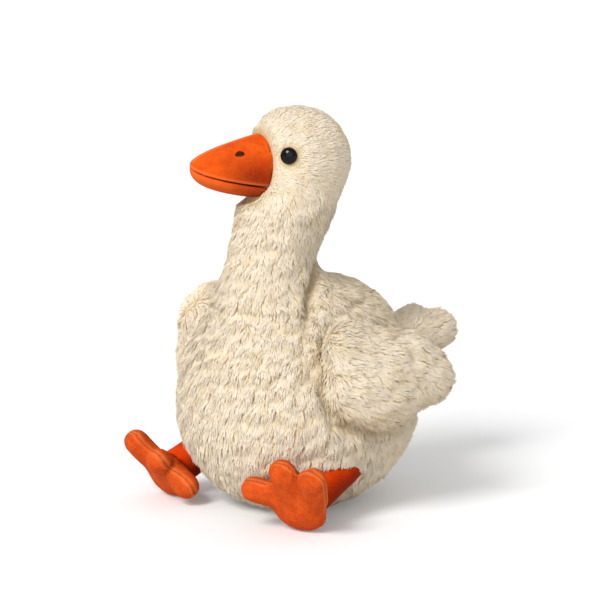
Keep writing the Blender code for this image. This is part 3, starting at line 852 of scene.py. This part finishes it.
def makeBeak(name, node, look, finish):
    upper = node == "beak_upper"
    width = look["width"] if upper else look["lowerWidth"]
    bm = bmesh.new()
    rings = []
    for step in range(look["stations"]):
        share = look["fullShare"] * math.sin(math.pi / 2 * step / (look["stations"] - 1))
        reach = look["start"] + (look["reach"] - look["start"]) * share
        left = (look["reach"] - reach) / (look["reach"] - look["root"])
        halfWidth = width / 2 * (1.0 - (1.0 - left) ** 2) ** look["sideCurve"]
        mouth = -look["tipDrop"] - (look["mouth"] - look["tipDrop"]) * left ** look["mouthCurve"]
        if upper:
            ridge = -look["tipDrop"] + (look["ridge"] + look["tipDrop"]) * left ** look["ridgeCurve"]
            under = min(look["lip"], (ridge - mouth) / 2)
            middle, over = mouth + under, ridge - mouth - under
        else:
            over = look["lip"] / 2
            middle = mouth - look["gap"] - over
            under = look["lowerDepth"] * (1.0 - (reach / look["reach"]) ** look["chinCurve"]) ** 0.5
        ring = bmesh.ops.create_circle(bm, segments=look["points"], radius=1.0)["verts"]
        for index, vert in enumerate(ring):
            angle = 2 * math.pi * index / look["points"]
            rise = math.sin(angle)
            power = look["mouthFlatness"] if (rise < 0) == upper else look["ridgeFullness"]
            height = bent(rise, power) * (over if rise > 0 else under)
            across = halfWidth * bent(math.cos(angle), power)
            if upper and rise > 0:
                ridges = 0.7 * bell(abs(across) - look["seamAside"], look["seamWidth"])
                height += look["seamDepth"] * (ridges - 1.1 * bell(across, look["seamWidth"]))
            vert.co = (across, -reach, middle + height)
        rings.append(ring)
    for first, second in zip(rings, rings[1:]):
        bmesh.ops.bridge_loops(bm, edges=ringEdges(first) + ringEdges(second))
    for ring in (rings[0], rings[-1]):
        bmesh.ops.edgeloop_fill(bm, edges=ringEdges(ring))
    bmesh.ops.recalc_face_normals(bm, faces=bm.faces)
    bm.transform(headFrame)
    beak = placed(name, bm, finish)
    seatOn(beak, bodySkin)
    points, normals = surfaceOf(beak)
    local = inHead(points)
    left = np.clip((look["reach"] + local[:, 1]) / (look["reach"] - look["root"]), 0.0, 1.0)
    mouth = -look["tipDrop"] - (look["mouth"] - look["tipDrop"]) * left ** look["mouthCurve"]
    overMouth = local[:, 2] - mouth
    if upper:
        # painted sheen: lighter in a band just above the mouth line and along the seams beside the ridge
        edge = bell(overMouth - look["edgeRise"], look["edgeWidth"])
        seam = bell(np.abs(local[:, 0]) - look["seamAside"], look["seamLight"]) * (normals[:, 2] > 0.5)
        napAndPaintedSheen = np.clip(0.75 * edge + seam, 0.0, 1.0)
        # painted shade: darker towards the rear and low on the upper beak, near the mouth
        paintedShade = smoothStep(*look["paintedShadeFrom"], left) * (1.0 - smoothStep(*look["paintedShadeTo"], overMouth))
    else:
        # lighter towards the tip
        napAndPaintedSheen = 0.25 * (1.0 - smoothStep(0.0, 0.6, left)) + 0.1
        # painted shade: darker towards the rear
        paintedShade = smoothStep(*look["lowerPaintedShadeFrom"], left)
    writeAttribute(beak, "napAndPaintedSheen", napAndPaintedSheen)
    writeAttribute(beak, "paintedShade", paintedShade)
    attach(beak, "root")
    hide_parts(node)
    return beak


def ringEdges(ring):
    members = set(ring)
    found = {edge for vert in ring for edge in vert.link_edges if edge.other_vert(vert) in members}
    return sorted(found, key=lambda edge: edge.index)


seatClear = 0.0003


def seatOn(made, skin):
    # cuts a piece back where it would run into a skin
    bm = bmesh.new()
    bm.from_mesh(skin.data)
    bm.normal_update()
    for vert, move in [(vert, vert.normal * seatClear) for vert in bm.verts]:
        vert.co += move
    cutter = placed("cutter", bm)
    cut = made.modifiers.new("seat", "BOOLEAN")
    cut.operation = "DIFFERENCE"
    cut.solver = "EXACT"
    cut.object = cutter
    applyModifiers(made)
    made.data.shade_smooth()
    bpy.data.objects.remove(cutter)


# nostrils, each worked as a small fan of thread
nostrilLook = {
    "forward": 0.0515, "aside": 0.0145, "drop": 0.0160, "length": 0.0064, "height": 0.0050, "stitches": 9,
    "thread": 0.00042, "threadFlatness": 0.9, "fan": 0.35, "lift": 0.0001,
}


def makeNostril(name, look, beak, finish):
    side = sides[name]
    tree = BVHTree.FromObject(beak, bpy.context.evaluated_depsgraph_get())
    start = headFrame @ Vector((side * look["aside"], -look["forward"], look["drop"]))
    point, normal = tree.ray_cast(start, Vector((0.0, 0.0, -1.0)))[:2]
    forward = headDirection(side, 0.0, 0.0)
    along = (forward - normal * forward.dot(normal)).normalized()
    axes = Matrix((along, normal.cross(along), normal)).transposed()
    bm = bmesh.new()
    for step in range(look["stitches"]):
        share = (step + 0.5) / look["stitches"] * 2.0 - 1.0
        half = look["height"] / 2 * math.sqrt(1.0 - 0.85 * share * share)
        local = Vector((share * look["length"] / 2, 0.0, 0.0))
        spot, facing = tree.find_nearest(point + axes @ local)[:2]
        fan = Matrix.Rotation(-look["fan"] * share, 4, "Z")
        shape = Matrix.Diagonal((look["thread"], half, look["thread"] * look["threadFlatness"], 1.0))
        place = Matrix.Translation(spot + facing * look["lift"]) @ axes.to_4x4() @ fan @ shape
        bmesh.ops.create_uvsphere(bm, u_segments=10, v_segments=8, radius=1.0, matrix=place)
    bmesh.ops.recalc_face_normals(bm, faces=bm.faces)
    stitches = placed(f"nostrilStitches_{name}", bm, finish)
    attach(stitches, "root")
    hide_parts(f"nostril_{name}")


def makeThread():
    made, graph = startMaterial("brownThread")
    place = graph.place()
    twist = graph.grain(place, 0.00035, 3.0)
    colour = graph.mix(graph.steps(twist, 0.35, 0.7), paint("230D05"), paint("572611"))
    bump = graph.bump(twist, 0.4, 0.0002)
    endMaterial(graph, {"Base Color": colour, "Roughness": 0.7, "Normal": bump, "Specular IOR Level": 0.1})
    return made


# feet
footLook = {
    "roundings": 1, "grain": 0.0014, "relaxRounds": 3, "seamDepth": 0.0004, "seamWidth": 0.07, "splay": 11,
    "lean": 30, "palm": 0.035, "cleft": 0.0026, "cleftWidth": 0.0028, "cleftFrom": (0.024, 0.036),
    "toeRadius": (0.0065, 0.0105), "toeStart": 0.006, "floorClear": 0.0002,
    # each toe's offset, fan and lean in degrees, and length
    "toes": {
        "left": ((0.010, 62, 14, 0.032), (0.0, 5, 2, 0.037), (-0.017, -12, 2, 0.034)),
        "right": ((0.010, 108, 10, 0.034), (0.003, 44, 20, 0.033), (-0.010, -10, 10, 0.033)),
    },
    "deep": paint("B23C0B"), "main": paint("C84C13"), "light": paint("EA8248"), "paintedShade": paint("802505"),
    "napShare": 0.35, "sheen": 0.06,
}


def makeFoot(name, look, finish):
    side = sides[name]
    foot = placed(f"footVelour_{name}", mergedCopy(f"foot_{name}"), finish)
    softened(foot, look)
    points, normals = surfaceOf(foot)
    turn = Matrix.Rotation(side * math.radians(look["splay"]), 3, "Z") @ Matrix.Diagonal((-side, 1.0, 1.0))
    turn = turn @ Matrix.Rotation(math.radians(look["lean"]), 3, "X")
    facing = normals @ np.array(turn @ Vector((0.0, -1.0, 0.0)))
    gaps = []
    for aside, fan, lean, length in look["toes"][name]:
        fan, lean = math.radians(fan), math.radians(lean)
        root = Vector((aside, 0.0, look["palm"] / 4))
        run = Vector((math.sin(fan) * math.cos(lean), -math.sin(lean), math.cos(fan) * math.cos(lean)))
        ends = [Vector(ankles[name]) + turn @ (root + run * reach) for reach in (look["toeStart"], length)]
        gaps.append(distanceToLine(points, ends))
    near = np.sort(np.array(gaps), axis=0)
    between = bell(near[1] - near[0], look["cleftWidth"]) * smoothStep(*look["toeRadius"], near[0])
    between *= smoothStep(*look["cleftFrom"], np.linalg.norm(points - np.array(ankles[name]), axis=1))
    points = points - normals * (look["cleft"] * between)[:, None]
    seam = bell(facing, look["seamWidth"])
    floorShare = smoothStep(0.0008, 0.004, points[:, 2])
    points = points - normals * (look["seamDepth"] * seam * floorShare)[:, None]
    points[:, 2] = np.maximum(points[:, 2], look["floorClear"])
    moveTo(foot, points)
    # painted sheen in bands beside the seam, and painted shade in the seam and between the toes
    writeAttribute(foot, "napAndPaintedSheen", bell(np.abs(facing) - 0.2, 0.1) * 0.6)
    writeAttribute(foot, "paintedShade", np.clip(0.5 * seam + 0.8 * between, 0.0, 1.0))
    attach(foot, "root")
    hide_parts(f"foot_{name}")


# legs
legLook = {
    "roundings": 1, "grain": 0.0016, "relaxRounds": 3, "reachIn": 0.006, "splay": {"left": 3, "right": 12},
    "fall": 24, "wrinkle": 0.0005, "wrinkleSize": 0.011, "threads": 320.0,
    "main": paint("D43C03"), "deep": paint("AE2B02"), "light": paint("E2560C"), "paintedShade": paint("7C1A00"),
}


def makeCloth(look):
    made, graph = startMaterial("orangeCloth")
    place = graph.place()
    turn = (math.radians(-look["fall"]), 0.0, 0.12)
    lain = graph.add("ShaderNodeMapping", None, {"Vector": place, "Rotation": turn})
    threads = {"Vector": lain, "Scale": look["threads"], "Distortion": 1.5}
    warp = graph.add("ShaderNodeTexWave", {"bands_direction": "X"}, threads)
    weft = graph.add("ShaderNodeTexWave", {"bands_direction": "Y"}, threads)
    weave = warp * 0.5 + weft * 0.5
    colour = graph.mix(graph.steps(graph.grain(place, 0.012, 3.0), 0.3, 0.7), look["deep"], look["main"])
    colour = graph.mix(graph.steps(weave, 0.45, 0.9) * 0.3, colour, look["light"])
    # painted shade where the mesh asks for it
    colour = graph.mix(graph.attribute("paintedShade") * 0.85, colour, look["paintedShade"])
    bump = graph.bump(weave, 0.3, 0.0003)
    endMaterial(graph, {
        "Base Color": colour, "Roughness": 0.6, "Normal": bump, "Specular IOR Level": 0.04,
    })
    return made


def makeLeg(name, look, finish):
    side = sides[name]
    leg = placed(f"legCloth_{name}", mergedCopy(f"leg_{name}"), finish)
    softened(leg, look)
    points, normals = surfaceOf(leg)
    fall, splay = math.radians(look["fall"]), math.radians(look["splay"][name])
    flat = math.cos(fall)
    run = np.array((side * math.sin(splay) * flat, -math.cos(splay) * flat, -math.sin(fall)))
    bodyGap = distanceTo(points, treeOf("body"))
    points = points - run * (look["reachIn"] * (1.0 - smoothStep(0.0005, 0.004, bodyGap)))[:, None]
    points = points + normals * (look["wrinkle"] * lumps(points, look["wrinkleSize"], 3.0))[:, None]
    moveTo(leg, points)
    # painted shade on the underside, where the cloth faces down
    writeAttribute(leg, "paintedShade", 1.0 - smoothStep(-0.25, 0.75, normals[:, 2]))
    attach(leg, "root")
    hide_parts(f"leg_{name}")


def makeNylon():
    made, graph = startMaterial("whiteNylon")
    place = graph.place()
    flow = graph.grain(place, 0.003, 3.0)
    colour = graph.mix(flow, paint("E4E2DA"), paint("F3F2EC"))
    bump = graph.bump(graph.grain(place, 0.0006), 0.1, 0.0001)
    endMaterial(graph, {"Base Color": colour, "Roughness": 0.35 + 0.15 * flow, "Normal": bump})
    return made


# stage: a pale floor, three soft lamps and an even pale sky
stageLook = {
    "floorColour": (0.80, 0.80, 0.80, 1.0), "white": (1.0, 1.0, 1.0, 1.0), "floorRadius": 40.0,
    "floorLift": 0.12, "sky": 0.52,
    "lamps": {
        "softLamp": {"strength": 2.55, "spread": 24, "way": (0.150, -0.989), "rise": 41},
        "fillLamp": {"strength": 0.8, "spread": 60, "way": (0.600, -0.800), "rise": 20},
        "backLamp": {"strength": 0.45, "spread": 70, "way": (-0.400, 0.917), "rise": 35},
    },
}


def makeStage(look):
    bm = bmesh.new()
    bmesh.ops.create_circle(bm, cap_ends=True, segments=96, radius=look["floorRadius"])
    floor = placed("floor", bm)
    made, graph = startMaterial("paleFloor")
    seen = graph.add("ShaderNodeLightPath", None, None, "Is Camera Ray")
    plain = graph.add("ShaderNodeBsdfDiffuse", None, {"Color": look["floorColour"]})
    lift = seen * look["floorLift"]
    glow = graph.add("ShaderNodeEmission", None, {"Color": look["white"], "Strength": lift})
    both = graph.add("ShaderNodeAddShader", None, {0: plain, 1: glow})
    graph.add("ShaderNodeOutputMaterial", None, {"Surface": both})
    floor.data.materials.append(made)

    world = bpy.data.worlds.new("paleSky")
    world.use_nodes = True
    world.node_tree.nodes.clear()
    graph = Graph(world.node_tree)
    seen = graph.add("ShaderNodeLightPath", None, None, "Is Camera Ray")
    sky = graph.add("ShaderNodeBackground", None, {
        "Color": look["white"], "Strength": look["sky"] + (1.0 - look["sky"]) * seen,
    })
    graph.add("ShaderNodeOutputWorld", None, {"Surface": sky})
    bpy.context.scene.world = world

    for name, values in look["lamps"].items():
        lamp = bpy.data.lights.new(name, "SUN")
        lamp.angle = math.radians(values["spread"])
        lamp.energy = values["strength"]
        shown = bpy.data.objects.new(name, lamp)
        rise = math.radians(values["rise"])
        flat = Vector((*values["way"], 0.0)) * math.cos(rise)
        way = flat + Vector((0.0, 0.0, math.sin(rise)))
        shown.location = way
        shown.rotation_euler = way.to_track_quat("Z", "Y").to_euler()
        bpy.context.scene.collection.objects.link(shown)
    bpy.context.scene.view_settings.view_transform = "Standard"


setCamera(cameraLook)
makeStage(stageLook)
print("camera, floor and lamps are set")

wisps = makeWisps(wispLook)
creamPile = makePile(pileLook)
creamSkin = makeSkinMaterial(pileLook)
bodySkin = makeBodySkin(bodyLook, creamSkin)
plantBody(bodySkin, bodyLook, creamPile)
for sideName in sides:
    makeWing(sideName, wingLook, creamSkin, creamPile)
makeTail(tailLook, creamSkin, creamPile)
print("body, wings and tail are planted")

beakVelour = makeVelour("beakVelour", beakLook)
beakUpper = makeBeak("beakUpperVelour", "beak_upper", beakLook, beakVelour)
makeBeak("beakLowerVelour", "beak_lower", beakLook, beakVelour)
brownThread = makeThread()
eyeGloss = makeEyeGloss()
footVelour = makeVelour("footVelour", footLook)
orangeCloth = makeCloth(legLook)
whiteNylon = makeNylon()
for sideName in sides:
    makeNostril(sideName, nostrilLook, beakUpper, brownThread)
    makeEye(sideName, eyeLook, eyeGloss)
    makeFoot(sideName, footLook, footVelour)
    makeLeg(sideName, legLook, orangeCloth)
    washer = frame["nodes"][f"eye_washer_{sideName}"]
    washer.data.materials.clear()
    washer.data.materials.append(whiteNylon)
print("beak, eyes, legs and feet are made")

for shape in list(wisps.objects):
    bpy.data.objects.remove(shape)
bpy.data.collections.remove(wisps)
